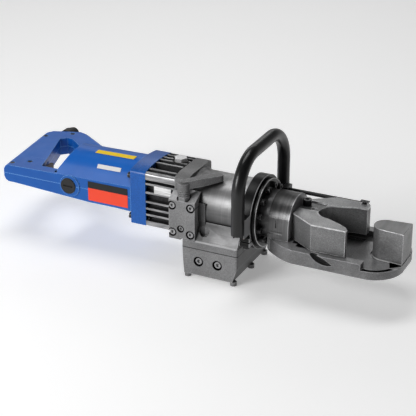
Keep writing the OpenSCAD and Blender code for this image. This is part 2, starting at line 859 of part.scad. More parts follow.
module clamp_ring() {
    color("black") difference() {
        union() {
            along_x(ring_rear_x, 0, axis_z) cylinder(r = ring_r, h = cyl_front_x - ring_rear_x);
            translate([ring_rear_x, 3 - leg_y, 88]) cube([cyl_front_x - ring_rear_x, leg_y - 47, 28]);
            translate([ring_rear_x, 44, 86]) cube([cyl_front_x - ring_rear_x, leg_y - 47, 20]);
            translate([ring_rear_x, -56, 66]) cube([cyl_front_x - ring_rear_x, 22, 14]);
        }
        along_x(ring_rear_x - 2, 0, axis_z) cylinder(r = cyl_r + 0.03, h = 40);
        along_x(cyl_front_x, 0, axis_z) cylinder(r = 120, h = 40);
        for (side = [-1, 1]) translate([handle_x, side * leg_y, 60]) cylinder(r = tube_r, h = 90);
        translate([ring_rear_x - 1, -70, 72]) cube([40, 40, 2]);
        translate([handle_x - 1, -49, 60]) cylinder(r = 3, h = 30, $fn = 32);
    }
}

module clamp_bolt() {
    color("dimgray") translate([handle_x - 1, -49, 66]) rotate([180, 0, 0]) socket_screw(5, 5, 3, 14);
}

module carry_handle() {
    leg_top = bar_z - bend_r;
    color("black") {
        for (side = [-1, 1])
            translate([handle_x, side * leg_y, leg_low_z]) cylinder(r = tube_r, h = leg_top - leg_low_z);
        along_y(handle_x, -(leg_y - bend_r), bar_z) cylinder(r = tube_r, h = 2 * (leg_y - bend_r));
        translate([handle_x, leg_y - bend_r, leg_top]) rotate([90, 0, 90])
            rotate_extrude(angle = 90) translate([bend_r, 0]) circle(r = tube_r, $fn = 48);
        translate([handle_x, -(leg_y - bend_r), leg_top]) rotate([90, 0, 90])
            rotate([0, 0, 90]) rotate_extrude(angle = 90) translate([bend_r, 0]) circle(r = tube_r, $fn = 48);
    }
}

// ---- Bending head ----

module neck_section() {
    translate([-neck_half_y, 62]) square([2 * neck_half_y, neck_top_z - 62 - neck_half_y]);
    translate([0, neck_top_z - neck_half_y]) circle(r = neck_half_y, $fn = 96);
}

module head_plan() {
    polygon([[80, -33], [86, -39], [93, -44.5], [101, -49.8], [110, -55], [119, -59], [128, -61], [234, -61],
        [234, 61], [128, 61], [119, 59], [110, 55], [101, 49.8], [93, 44.5], [86, 39], [80, 33]]);
    for (side = [-1, 1])
        translate([head_front_x - corner_r, side * (head_half_y - corner_r)]) circle(r = corner_r, $fn = 96);
    translate([200, -(head_half_y - corner_r)]) square([head_front_x - 200, 2 * (head_half_y - corner_r)]);
}

module bending_head() {
    color("darkgray") difference() {
        union() {
            along_x(cyl_front_x + 0.5, 0, axis_z) cylinder(r = 51, h = 5.5, $fn = 96);
            along_x(66, 0, axis_z) cylinder(r = 36, h = 20);
            section_x(82, neck_front_x - 82) neck_section();
            head_plate();
        }
        along_x(50, 0, axis_z) cylinder(r = 28, h = gland_x + gland_len - 50);
        along_x(50, 0, axis_z) cylinder(r = rod_r + 1, h = 90);
        for (i = [0 : flange_bolt_count - 1]) flange_bolt_hole(i);
        head_cuts();
        translate([0, 0, floor_z - post_seat_depth]) linear_extrude(10) post_plan(3);
        translate([246, 0, 64]) cylinder(r = 12, h = 10);
    }
}

// Plate with raised side walls that stop behind the nose and a channel between them
module head_plate() {
    translate([0, 0, head_low_z]) linear_extrude(floor_z - head_low_z) head_plan();
    difference() {
        translate([0, 0, floor_z - 1]) linear_extrude(rail_top_z - floor_z + 1) head_plan();
        translate([rail_front_x, -80, floor_z - 2]) cube([80, 160, 20]);
        translate([128, -rail_in_y, floor_z]) cube([200, 2 * rail_in_y, 20]);
    }
}

// Crescent scallops beside the rails, crescent grooves round the nose, and the hollow underside
module head_cuts() {
    for (side = [-1, 1]) intersection() {
        along_y(179.2, side > 0 ? 54 : -65, 94.9) cylinder(r = 28.7, h = 11, $fn = 96);
        along_y(150, side > 0 ? 54 : -65, 15.4) cylinder(r = 65.8, h = 11, $fn = 96);
    }
    for (side = [-1, 1])
        translate([head_front_x - corner_r, side * (head_half_y - corner_r), floor_z - 5]) difference() {
        cylinder(r = 43.5, h = 10, $fn = 96);
        translate([0, 0, -1]) cylinder(r = 37.5, h = 12, $fn = 96);
        translate([-60, -60, -1]) cube([58, 120, 12]);
        translate([-60, side > 0 ? -60 : -20.5, -1]) cube([120, 80.5, 12]);
    }
    for (side = [-1, 1])
        translate([93.6, side > 0 ? neck_half_y - 2 : -neck_half_y - 1, 97]) cube([2.2, 3, 20.5]);
    translate([130, -46, head_low_z - 1]) cube([105, 92, 7]);
    translate([120, -38, floor_z - 4]) cube([85, 76, 20]);
}

module flange_bolts() {
    color("black") for (i = [0 : flange_bolt_count - 1]) {
        angle = (i + 0.5) * 360 / flange_bolt_count;
        along_x(67.5, flange_pcd_r * cos(angle), axis_z + flange_pcd_r * sin(angle)) socket_screw(4.8,
            6, 3, 20);
    }
}

module post_plan(grow) {
    translate([post_nose_x + post_nose_r, 0]) circle(r = post_nose_r + grow, $fn = 96);
    polygon([[246, -17.6 - grow], [head_front_x - 1, -20.8 - grow], [head_front_x - 1, 20.8 + grow],
        [246, 17.6 + grow]]);
}

module bending_post() {
    color("darkgray") {
        translate([0, 0, floor_z - post_seat_depth])
            linear_extrude(post_top_z - floor_z + post_seat_depth) post_plan(0);
        translate([246, 0, 64]) cylinder(r = 12, h = 7);
    }
}

// Plan of the U-shaped fork; its far horn is a little shorter than the near one
module fork_plan() {
    difference() {
        polygon([[fork_rear_x, -26.4], [152.7, -50.9], [203.5, -50.3], [204.5, -46], [199, -39], [190, -33],
            [notch_x, -notch_r], [notch_x, notch_r], [190, 30.3], [207, 31], [207, 44], [203.5, 50.3],
            [152.7, 50.9], [fork_rear_x, 26.4]]);
        translate([notch_x, 0]) circle(r = notch_r);
    }
}

module bending_fork() {
    color("darkgray") difference() {
        translate([0, 0, fork_low_z]) linear_extrude(fork_top_z - fork_low_z) fork_plan();
        along_x(fork_rear_x - 1, 0, axis_z) cylinder(r = rod_r, h = 17);
        translate([fork_rear_x - 1, -6, fork_top_z - slot_depth]) cube([35.5, 30, slot_depth + 1]);
        translate([set_bolt_place[0], set_bolt_place[1], fork_top_z - 14]) cylinder(r = 4, h = 20);
        translate([137, 3, fork_top_z - slot_depth - 1.2]) cylinder(r = 4.5, h = 3);
        translate([191.95, 43.45, fork_top_z - slot_depth]) cube([8.1, 30, slot_depth + 1]);
        translate([rod_bolt_place[0], rod_bolt_place[1], fork_top_z - 14]) cylinder(r = 2.5, h = 20);
    }
}

module fork_set_bolt() {
    color("black")
        translate([set_bolt_place[0], set_bolt_place[1], fork_top_z - slot_depth]) socket_screw(6.2,
            9.5, 4, 12);
}

module angle_rod() {
    color("black") {
        along_x(rod_rear_x, rod_y, rod_z) cylinder(r = rod_bar_r, h = 190 - rod_rear_x);
        difference() {
            translate([192, 43.5, fork_top_z - slot_depth]) cube([8, 16.5, slot_depth]);
            translate([rod_bolt_place[0], rod_bolt_place[1], fork_top_z - 5]) cylinder(r = 2.5, h = 10);
        }
        translate([187, rod_y - 3, rod_z - 3]) cube([9, 6, fork_top_z - rod_z + 3]);
    }
}

module angle_rod_bolt() {
    color("dimgray")
        translate([rod_bolt_place[0], rod_bolt_place[1], fork_top_z]) socket_screw(3.4, 4, 2.5, 14);
}

module rod_guide() {
    color("black") difference() {
        translate([67.5, 46, 106]) cube([9.5, 17.5, 16]);
        along_x(60, rod_y, rod_z) cylinder(r = rod_bar_r + 0.08, h = 40);
    }
}

module stop_collar() {
    color("silver") along_x(rod_rear_x + 3, rod_y, rod_z) difference() {
        cylinder(r = 6.5, h = 10);
        translate([0, 0, -1]) cylinder(r = rod_bar_r, h = 12);
    }
}

// ---- Blank labels ----

module nameplate_black() {
    color("black") translate([-211, -barrel_half_y - 0.5, 103]) cube([68, 0.5, 10.5]);
}

module nameplate_red() {
    color("orangered") translate([-211, -barrel_half_y - 0.5, 82.5]) cube([68, 0.5, 20.4]);
}

module label_yellow() {
    color("gold") translate([-214, -13.4, 148]) rotate([3.3, -0.9, 0]) cube([66, 10, 0.5]);
}

module label_white() {
    color("white") translate([-200.5, -33.2, 132.7]) rotate([53.1, -0.9, 0]) cube([40, 6.5, 0.5]);
}

housing_lower();
housing_upper();
housing_screws();
trigger();
trigger_switch();
brush_caps();
carbon_brushes();
cable_gland();
field_stator();
stator_coils();
armature_core();
armature_shaft();
commutator();
cooling_fan();
armature_bearings();
gear_collar();
collar_bolts();
layshaft();
lay_gear();
lay_bushes();
eccentric_shaft();
drive_gear();
eccentric_bearing();
main_bearing();
pump_block();
pump_plunger_near();
pump_plunger_far();
oil_tank();
filler_plug();
filler_washer();
cylinder_body();
piston();
piston_seal();
piston_rod();
return_spring();
rod_gland();
base_block();
base_screws();
feet();
valve_block();
valve_screws();
valve_plug();
release_spindle();
release_lever();
clamp_ring();
clamp_bolt();
carry_handle();
bending_head();
flange_bolts();
bending_post();
bending_fork();
fork_set_bolt();
angle_rod();
angle_rod_bolt();
rod_guide();
stop_collar();
nameplate_black();
nameplate_red();
label_yellow();
label_white();
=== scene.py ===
"""Looks of the portable rebar bender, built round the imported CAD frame."""
import json
import math

import bpy
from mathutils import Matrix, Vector

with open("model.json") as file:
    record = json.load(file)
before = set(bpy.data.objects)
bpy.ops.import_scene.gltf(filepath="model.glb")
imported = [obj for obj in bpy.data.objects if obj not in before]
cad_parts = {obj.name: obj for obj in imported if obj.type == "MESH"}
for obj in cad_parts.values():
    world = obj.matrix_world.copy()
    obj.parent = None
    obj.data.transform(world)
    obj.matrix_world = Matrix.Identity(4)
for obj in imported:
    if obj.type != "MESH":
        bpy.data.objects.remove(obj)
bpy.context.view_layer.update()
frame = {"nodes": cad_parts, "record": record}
NODES = frame["nodes"]
MM = 0.001


def mm(*lengths):
    """Lengths in millimetres as a tuple in metres."""
    return tuple(length * MM for length in lengths)


# ---------------------------------------------------------------- camera

CAM_AZIMUTH = math.radians(25.777)
CAM_ELEVATION = math.radians(25.021)
CAM_DISTANCE = 2.0
CAM_TARGET = Vector((-0.0313, 0.0, 0.0869))
CAM_LENS = 116.29
CAM_SENSOR = 36.0
CAM_REACH = 20.0


def make_camera():
    """Puts the scene's camera on its sphere round the target, looking inwards."""
    data = bpy.data.cameras.new("camera")
    data.lens = CAM_LENS
    data.sensor_width = CAM_SENSOR
    data.clip_end = CAM_REACH
    camera = bpy.data.objects.new("camera", data)
    bpy.context.scene.collection.objects.link(camera)
    away = Vector((
        math.sin(CAM_AZIMUTH) * math.cos(CAM_ELEVATION),
        -math.cos(CAM_AZIMUTH) * math.cos(CAM_ELEVATION),
        math.sin(CAM_ELEVATION),
    ))
    camera.location = CAM_TARGET + away * CAM_DISTANCE
    camera.rotation_euler = (-away).to_track_quat("-Z", "Y").to_euler()
    bpy.context.scene.camera = camera


make_camera()

# ---------------------------------------------------------------- floor and light

FLOOR_SIZE = 14.0
FLOOR_Z = -0.2 * MM
# World brightness from straight down to straight up: bright round the horizon, dark overhead
SKY = ((0.0, 0.55), (0.50, 0.85), (0.60, 0.60), (0.74, 0.30), (1.0, 0.10))
# Brightness of the sky towards the motor and towards the bending head
SKY_SIDES = (1.25, 0.35)
SKY_STRENGTH = 0.62
FLOOR_GLOW = 0.26


def make_floor():
    """A pale floor that glows a little, so that it stays near white."""
    bpy.ops.mesh.primitive_plane_add(size=FLOOR_SIZE, location=(0, 0, FLOOR_Z))
    floor = bpy.context.object
    floor.name = "floor"
    material = bpy.data.materials.new("floor_pale")
    material.use_nodes = True
    bsdf = material.node_tree.nodes["Principled BSDF"]
    bsdf.inputs["Base Color"].default_value = (0.96, 0.96, 0.96, 1)
    bsdf.inputs["Roughness"].default_value = 0.9
    bsdf.inputs["Emission Color"].default_value = (1, 1, 1, 1)
    bsdf.inputs["Emission Strength"].default_value = FLOOR_GLOW
    floor.data.materials.append(material)


def make_world():
    """A grey studio sky: its brightness follows SKY with height and SKY_SIDES along X."""
    world = bpy.data.worlds.new("studio")
    world.use_nodes = True
    nodes, links = world.node_tree.nodes, world.node_tree.links
    split = nodes.new("ShaderNodeSeparateXYZ")
    links.new(nodes.new("ShaderNodeTexCoord").outputs["Generated"], split.inputs[0])
    height = nodes.new("ShaderNodeMapRange")
    height.inputs["From Min"].default_value = -1.0
    links.new(split.outputs["Z"], height.inputs["Value"])
    ramp = nodes.new("ShaderNodeValToRGB")
    while len(ramp.color_ramp.elements) < len(SKY):
        ramp.color_ramp.elements.new(0.5)
    for element, (place, grey) in zip(ramp.color_ramp.elements, SKY):
        element.position = place
        element.color = (grey, grey, grey, 1)
    links.new(height.outputs["Result"], ramp.inputs["Fac"])
    side = nodes.new("ShaderNodeMapRange")
    sides = {"From Min": -1.0, "From Max": 1.0, "To Min": SKY_SIDES[0], "To Max": SKY_SIDES[1]}
    for key, value in sides.items():
        side.inputs[key].default_value = value
    links.new(split.outputs["X"], side.inputs["Value"])
    scaled = nodes.new("ShaderNodeVectorMath")
    scaled.operation = "SCALE"
    links.new(ramp.outputs["Color"], scaled.inputs[0])
    links.new(side.outputs["Result"], scaled.inputs["Scale"])
    links.new(scaled.outputs["Vector"], nodes["Background"].inputs["Color"])
    nodes["Background"].inputs["Strength"].default_value = SKY_STRENGTH
    bpy.context.scene.world = world


def area_light(name, place, aim, size, power):
    """A rectangular light at a place, aimed at another; size is width and height."""
    data = bpy.data.lights.new(name, "AREA")
    data.shape = "RECTANGLE"
    data.size = size[0]
    data.size_y = size[1]
    data.energy = power
    light = bpy.data.objects.new(name, data)
    light.location = place
    light.rotation_euler = (Vector(aim) - Vector(place)).to_track_quat("-Z", "Y").to_euler()
    bpy.context.scene.collection.objects.link(light)


make_floor()
make_world()
area_light("key", (-1.0, -1.7, 1.0), (0, 0, 0.08), (1.0, 0.8), 27)
area_light("top", (-0.35, 0.25, 2.0), (0, 0, 0.08), (1.3, 0.7), 13)
area_light("back", (-0.9, 1.7, 1.15), (0, 0, 0.1), (1.8, 0.35), 4)
bpy.context.scene.view_settings.view_transform = "Standard"

# ---------------------------------------------------------------- shader graphs


class Graph:
    """A material whose shader graph is put together in a few lines."""

    def __init__(self, name):
        self.material = bpy.data.materials.new(name)
        self.material.use_nodes = True
        self.tree = self.material.node_tree
        self.bsdf = self.tree.nodes["Principled BSDF"]
        self.coords = self.tree.nodes.new("ShaderNodeTexCoord").outputs["Object"]

    def node(self, kind, **settings):
        """A new node with its settings."""
        made = self.tree.nodes.new(kind)
        for key, value in settings.items():
            setattr(made, key, value)
        return made

    def link(self, a, b):
        """Joins an output to an input."""
        self.tree.links.new(a, b)

    def noise(self, scale, detail=4.0, rough=0.55, stretch=(1, 1, 1)):
        """Noise fixed to the piece; a small stretch draws it out along that axis."""
        mapping = self.node("ShaderNodeMapping")
        mapping.inputs["Scale"].default_value = stretch
        self.link(self.coords, mapping.inputs["Vector"])
        noise = self.node("ShaderNodeTexNoise")
        noise.inputs["Scale"].default_value = scale
        noise.inputs["Detail"].default_value = detail
        noise.inputs["Roughness"].default_value = rough
        self.link(mapping.outputs["Vector"], noise.inputs["Vector"])
        return noise.outputs["Fac"]

    def ramp(self, fac, low, high, a, b):
        """Colour a up to low and colour b from high on, blended between them."""
        ramp = self.node("ShaderNodeValToRGB")
        ramp.color_ramp.elements[0].position = low
        ramp.color_ramp.elements[1].position = high
        ramp.color_ramp.elements[0].color = a
        ramp.color_ramp.elements[1].color = b
        self.link(fac, ramp.inputs["Fac"])
        return ramp.outputs["Color"]

    def span(self, fac, low, high, out_low, out_high):
        """out_low to out_high as a value goes from low to high, and no further."""
        span = self.node("ShaderNodeMapRange")
        for key, value in (("From Min", low), ("From Max", high), ("To Min", out_low), ("To Max", out_high)):
            span.inputs[key].default_value = value
        self.link(fac, span.inputs["Value"])
        return span.outputs["Result"]

    def math(self, operation, a, b=0.0):
        """A maths node on two values, each a number or an output."""
        made = self.node("ShaderNodeMath", operation=operation)
        for i, value in enumerate((a, b)):
            if isinstance(value, (int, float)):
                made.inputs[i].default_value = value
            else:
                self.link(value, made.inputs[i])
        return made.outputs["Value"]

    def times(self, first, *others):
        """The product of masks or amounts: for masks, 1 only where all of them are 1."""
        for other in others:
            first = self.math("MULTIPLY", first, other)
        return first

    def above(self, value, place):
        """1 where a value is greater than place, else 0."""
        return self.math("GREATER_THAN", value, place)

    def below(self, value, place):
        """1 where a value is less than place, else 0."""
        return self.math("LESS_THAN", value, place)

    def within(self, value, start, full, fade, end):
        """1 from full to fade, falling to 0 at start and at end."""
        return self.times(self.span(value, start, full, 0.0, 1.0), self.span(value, fade, end, 1.0, 0.0))

    def apart(self, value, place):
        """How far a value is from place, without its sign."""
        return self.math("ABSOLUTE", self.math("SUBTRACT", value, place))

    def length(self, a, b):
        """Length of the flat vector (a, b)."""
        return self.math("SQRT", self.math("ADD", self.times(a, a), self.times(b, b)))

    def blend(self, a, b, share):
        """A share of a and the rest of b."""
        return self.math("ADD", self.times(a, share), self.times(b, 1.0 - share))

    def mix(self, fac, a, b):
        """Colour a where fac is 0 and colour b where it is 1."""
        made = self.node("ShaderNodeMix", data_type="RGBA")
        self.link(fac, made.inputs["Factor"])
        for socket, value in ((made.inputs[6], a), (made.inputs[7], b)):
            if isinstance(value, tuple):
                socket.default_value = value
            else:
                self.link(value, socket)
        return made.outputs[2]

    def scale(self, colour, amount):
        """A colour times an amount, which may be more than 1."""
        made = self.node("ShaderNodeVectorMath", operation="SCALE")
        self.link(colour, made.inputs[0])
        self.link(amount, made.inputs["Scale"])
        return made.outputs["Vector"]

    def shade(self, colour, mask, amount):
        """A colour times an amount where the mask is 1, and unchanged where it is 0."""
        return self.scale(colour, self.span(mask, 0.0, 1.0, 1.0, amount))

    def edges(self, radius):
        """1 on sharp edges and 0 on flats, from how far a bevelled normal leans away."""
        bevel = self.node("ShaderNodeBevel", samples=4)
        bevel.inputs["Radius"].default_value = radius
        geometry = self.node("ShaderNodeNewGeometry")
        dot = self.node("ShaderNodeVectorMath", operation="DOT_PRODUCT")
        self.link(bevel.outputs["Normal"], dot.inputs[0])
        self.link(geometry.outputs["Normal"], dot.inputs[1])
        return self.span(dot.outputs["Value"], 0.99, 0.86, 0.0, 1.0)

    def crevice_shade(self, distance, floor_value):
        """Painted shade: 1 on open faces, falling to floor_value deep in corners."""
        shade = self.node("ShaderNodeAmbientOcclusion", samples=8)
        shade.inputs["Distance"].default_value = distance
        return self.span(shade.outputs["AO"], 0.25, 0.85, floor_value, 1.0)

    def facing(self, axis, low, high, out_low, out_high):
        """out_low to out_high as the surface normal's part along an axis goes from low to high."""
        split = self.node("ShaderNodeSeparateXYZ")
        self.link(self.node("ShaderNodeNewGeometry").outputs["Normal"], split.inputs[0])
        return self.span(split.outputs[axis], low, high, out_low, out_high)

    def top_light_gain(self, gain):
        """Painted light: gain on faces that look straight up, 1 on upright faces."""
        return self.facing("Z", 0.35, 0.92, 1.0, gain)

    def rim(self):
        """1 on rounded top edges and on slopes, 0 on flat tops and upright faces."""
        return self.times(self.facing("Z", 0.12, 0.35, 0.0, 1.0), self.facing("Z", 0.90, 0.98, 1.0, 0.0))

    def axes(self):
        """The piece's own X, Y and Z, which are the CAD frame's at rest."""
        split = self.node("ShaderNodeSeparateXYZ")
        self.link(self.coords, split.inputs[0])
        return split.outputs["X"], split.outputs["Y"], split.outputs["Z"]

    def bump(self, height, strength, distance, onto=None):
        """A normal roughened by a height, on top of another normal where one is given."""
        made = self.node("ShaderNodeBump")
        made.inputs["Strength"].default_value = strength
        made.inputs["Distance"].default_value = distance
        self.link(height, made.inputs["Height"])
        if onto is not None:
            self.link(onto, made.inputs["Normal"])
        return made.outputs["Normal"]

    def out(self, **sockets):
        """Sets or links the shader's inputs and gives the finished material."""
        for key, value in sockets.items():
            socket = self.bsdf.inputs[key.replace("_", " ")]
            if isinstance(value, (int, float, tuple)):
                socket.default_value = value
            else:
                self.link(value, socket)
        return self.material


def rgb(r, g, b):
    """An opaque colour."""
    return (r, g, b, 1.0)


# ---------------------------------------------------------------- plain finishes

# How far the scuffed and painted-highlight edges and the painted shade in corners reach, and how deep the
# grain is
ENAMEL_EDGE, ENAMEL_CORNER, ENAMEL_GRAIN = mm(2.2, 7, 0.22)
PLASTIC_EDGE, PLASTIC_CORNER, PLASTIC_GRAIN = mm(1.8, 9, 0.1)
BRUSHED_GRAIN = 0.06 * MM
COAT_ROUGHNESS = 0.12


def enamel(g, base, light, rough, grain, edge_wear_and_highlight, wear_and_highlight_colour, recess, cloud=18, top_light=1.0, rim_highlight=0.0):
    """Colour, roughness and normal of cloudy enamel with painted shade in corners, painted light on faces
    that look up, scuffed edges with a painted highlight, and a painted highlight on rounded top edges and
    slopes.
    """
    clouds = g.noise(cloud, 5)
    pits = g.noise(420, 3)
    colour = g.ramp(g.blend(clouds, pits, 0.6), 0.40, 0.62, rgb(*base), rgb(*light))
    colour = g.scale(colour, g.span(g.noise(800, 2), 0.35, 0.65, 0.80, 1.18))
    # Painted shade in corners.
    if recess < 1.0:
        colour = g.scale(colour, g.crevice_shade(ENAMEL_CORNER, recess))
    # Painted light on faces that look up.
    if top_light > 1.0:
        colour = g.scale(colour, g.top_light_gain(top_light))
    # Edges get scuffing and a painted highlight; rounded top edges and slopes get a painted highlight.
    breakup = g.span(g.noise(140, 6), 0.35, 0.62, 0.25, 1.0)
    wear_and_highlight = g.times(g.edges(ENAMEL_EDGE), breakup, edge_wear_and_highlight)
    if rim_highlight > 0.0:
        wear_and_highlight = g.math("MAXIMUM", wear_and_highlight, g.times(g.rim(), breakup, rim_highlight))
    colour = g.mix(wear_and_highlight, colour, rgb(*wear_and_highlight_colour))
    roughness = g.math("SUBTRACT", g.span(clouds, 0.3, 0.7, rough + 0.06, rough - 0.05), g.times(wear_and_highlight, 0.10))
    height = g.blend(pits, g.noise(1100, 2), 0.6)
    return colour, roughness, g.bump(height, grain, ENAMEL_GRAIN)


def paint(name, base, light, rough, metal=0.0, grain=0.25, edge_wear_and_highlight=0.0, wear_and_highlight_colour=(0.6, 0.6, 0.6), coat=0.0,
          recess=0.45, specular=0.5, top_light=1.0, rim_highlight=0.0):
    """Enamel as a whole material."""
    g = Graph(name)
    colour, roughness, normal = enamel(g, base, light, rough, grain, edge_wear_and_highlight, wear_and_highlight_colour, recess,
                                       top_light=top_light, rim_highlight=rim_highlight)
    return g.out(Base_Color=colour, Roughness=roughness, Metallic=metal, Normal=normal, Coat_Weight=coat,
                 Coat_Roughness=COAT_ROUGHNESS, Specular_IOR_Level=specular)


def moulded(name, base, light, rough, grain_scale, grain, recess=0.5, specular=0.5, rim=None):
    """Moulded plastic or rubber with a fine texture; rim is the colour of a painted highlight on the edges,
    and giving it also paints light on the faces that look up.
    """
    g = Graph(name)
    colour = g.ramp(g.noise(12, 3), 0.3, 0.7, rgb(*base), rgb(*light))
    if recess < 1.0:
        colour = g.scale(colour, g.crevice_shade(PLASTIC_CORNER, recess))
    # Painted light on faces that look up and a painted highlight on the edges.
    if rim:
        colour = g.scale(colour, g.top_light_gain(1.3))
        colour = g.mix(g.times(g.edges(PLASTIC_EDGE), 0.75), colour, rgb(*rim))
    roughness = g.span(g.noise(60, 3), 0.3, 0.7, rough - 0.04, rough + 0.06)
    normal = g.bump(g.noise(grain_scale, 2), grain, PLASTIC_GRAIN)
    return g.out(Base_Color=colour, Roughness=roughness, Normal=normal, Specular_IOR_Level=specular)


def label(name, base, light, rough=0.4, recess=0.5, specular=0.3):
    """A plain printed plate or sticker."""
    return moulded(name, base, light, rough, 600, 0.05, recess=recess, specular=specular)


def metal(name, base, light, rough, stretch=(1, 1, 1), scale=400, grain=0.15):
    """Bare or plated metal; its streaks are fine along an axis with a large stretch."""
    g = Graph(name)
    streak = g.noise(scale, 4, stretch=stretch)
    colour = g.ramp(g.blend(streak, g.noise(25, 4), 0.6), 0.35, 0.65, rgb(*base), rgb(*light))
    roughness = g.span(streak, 0.3, 0.7, rough - 0.06, rough + 0.1)
    normal = g.bump(streak, grain, BRUSHED_GRAIN)
    return g.out(Base_Color=colour, Roughness=roughness, Metallic=1.0, Normal=normal)


# ---------------------------------------------------------------- finishes that change over one piece

# The oil tank: half its width, its round crown, and the height of the bright pad on its side
TANK_HALF_Y = 43.5 * MM
CROWN_RADIUS = 219.5 * MM
CROWN_CENTRE_Z = -70 * MM
PAD_Z = mm(115.4, 126.6)
SKIN = 1.2 * MM

# The ram's axis, and the radius of the turned barrel round it
AXIS_Z = 100 * MM
BARREL_RADIUS = 47.3 * MM
# The cylinder's casting: plate, web, sloping flange, and the pad beside the valve block
PLATE_END_X = -41.5 * MM
VALVE_END_X = -23.2 * MM
SLOPE_TOP_Z = 87.5 * MM
FLANGE_TOP_Z = 61.5 * MM
SEAM_Z = 48.5 * MM
SEAM_HALF = mm(0.5, 1.1)
SIDE_PAD = {"y": -47 * MM, "x": -12.5 * MM, "z": 62.5 * MM}

# The clamp ring: its radius and its two outer edges
RING_OUTER_R = 55.5 * MM
RING_EDGES_X = mm(45.4, 61.1)

# The head: bolted flange, neck with a painted highlight at its rim, painted shade from the flange along the
# neck, side scallop and the recess in the upper edge of the nose, both with painted shade.
# Four lengths in a row are where a mask starts, is full, fades and ends.
FLANGE_FACE_X = 67.8 * MM
FLANGE_RIM_X = 66.4 * MM
FLANGE_RIM_R = 50 * MM
FLANGE_SHADE_X = mm(70, 98)
NECK_X = mm(81.5, 114.5)
NECK_LOW_Z = 81.5 * MM
NECK_RIM_X = 112.6 * MM
NECK_SIDE_Y = mm(15, 36)
SCALLOP_X = mm(135, 140, 215, 225)
SCALLOP_Y = mm(47, 48.5, 60.3, 60.7)
SCALLOP_TOP_Z = mm(78.2, 78.9)
NOSE_X = 234 * MM
NOSE_Y = 16 * MM
GROOVE_BEND = mm(36.8, 37.5, 43.5, 44.2)
GROOVE_Z = mm(64.0, 64.6, 69.2, 69.9)
GROOVE_START_X = NOSE_X - 2.5 * MM
GROOVE_SIDE_Y = 32 * MM

# The fork: floor of the slot for its set bolt, below which shade is painted, and the painted highlight line,
# with scuffing, under its top face
FORK_SLOT_Z = 118 * MM
FORK_LINE_Z = mm(118.1, 118.4, 119.5, 119.8)

# The post: its top face, and its foot, where a highlight line is painted
POST_TOP_Z = 116.8 * MM
POST_FOOT_Z = mm(70.6, 71.6)

# Holes in the near faces: X and Z of the middle, and the radius painted black as shade, in millimetres
VALVE_HOLES = ((-60.5, 111, 7), (-30.5, 111, 7), (-60, 68.4, 7), (-31, 68.4, 7), (-46.5, 75.5, 5.8))
BASE_HOLES = ((-17.6, 28.5, 7.9), (12.8, 28.5, 7.9))


def tank(name):
    """Cast aluminium, with painted shade down in the grooves and bare on the machined outer faces."""
    g = Graph(name)
    y, z = g.axes()[1:]
    side = g.above(g.apart(y, 0.0), TANK_HALF_Y - SKIN)
    top = g.above(g.length(y, g.math("SUBTRACT", z, CROWN_CENTRE_Z)), CROWN_RADIUS - SKIN)
    outer = g.math("MAXIMUM", side, top)
    streak = g.noise(420, 4, stretch=(0.1, 1, 1))
    bare = g.ramp(streak, 0.36, 0.64, rgb(0.20, 0.20, 0.205), rgb(0.42, 0.42, 0.425))
    pad = g.times(side, g.above(z, PAD_Z[0]), g.below(z, PAD_Z[1]))
    bare = g.mix(pad, bare, g.ramp(streak, 0.3, 0.6, rgb(0.5, 0.5, 0.5), rgb(0.8, 0.8, 0.8)))
    # Painted shade: the grooves between the fins are near black.
    dark = g.ramp(g.noise(300, 3), 0.3, 0.7, rgb(0.008, 0.008, 0.009), rgb(0.03, 0.03, 0.032))
    normal = g.bump(streak, 0.3, 0.08 * MM)
    return g.out(Base_Color=g.mix(outer, dark, bare), Roughness=g.span(outer, 0, 1, 0.6, 0.42),
                 Metallic=g.span(outer, 0, 1, 0.1, 0.95), Normal=normal)


def ram_radius(g, y, z):
    """Distance from the ram's axis."""
    return g.length(y, g.math("SUBTRACT", z, AXIS_Z))


def turned_part(g, base, light):
    """Colour and tool marks of steel turned about the ram's axis, cloudy with oil."""
    rings = g.noise(260, 3, stretch=(1, 0.02, 0.02))
    colour = g.ramp(g.blend(rings, g.noise(28, 5), 0.5), 0.36, 0.64, rgb(*base), rgb(*light))
    return colour, rings


def seam(g, z):
    """Dark line where the casting sits on the base block."""
    return g.span(g.apart(z, SEAM_Z), *SEAM_HALF, 0.10, 1.0)


def bored_cast(name, holes, low=False):
    """Cast enamel with the counterbores round the screws painted black as shade; low adds the seam and
    painted shade on the faces towards the head.
    """
    g = Graph(name)
    x, y, z = g.axes()
    colour, roughness, normal = enamel(g, (0.160, 0.160, 0.162), (0.225, 0.225, 0.228), 0.42, 0.6, 0.75,
                                       (0.50, 0.50, 0.51), 0.3, top_light=1.5, rim_highlight=0.6)
    near = None
    for hole_x, hole_z, hole_r in holes:
        away = g.length(g.math("SUBTRACT", x, hole_x * MM), g.math("SUBTRACT", z, hole_z * MM))
        away = g.math("SUBTRACT", away, hole_r * MM)
        near = away if near is None else g.math("MINIMUM", near, away)
    # Painted shade: the counterbores are near black and lose their reflection.
    open_face = g.span(near, -0.3 * MM, 0.1 * MM, 0.0, 1.0)
    colour = g.scale(colour, g.span(open_face, 0.0, 1.0, 0.02, 1.0))
    if low:
        # The seam, and painted shade on the faces towards the head.
        colour = g.scale(g.scale(colour, seam(g, z)), g.facing("X", 0.5, 0.85, 1.0, 0.5))
    return g.out(Base_Color=colour, Roughness=roughness, Metallic=g.times(open_face, 0.2), Normal=normal,
                 Specular_IOR_Level=g.times(open_face, 0.5))


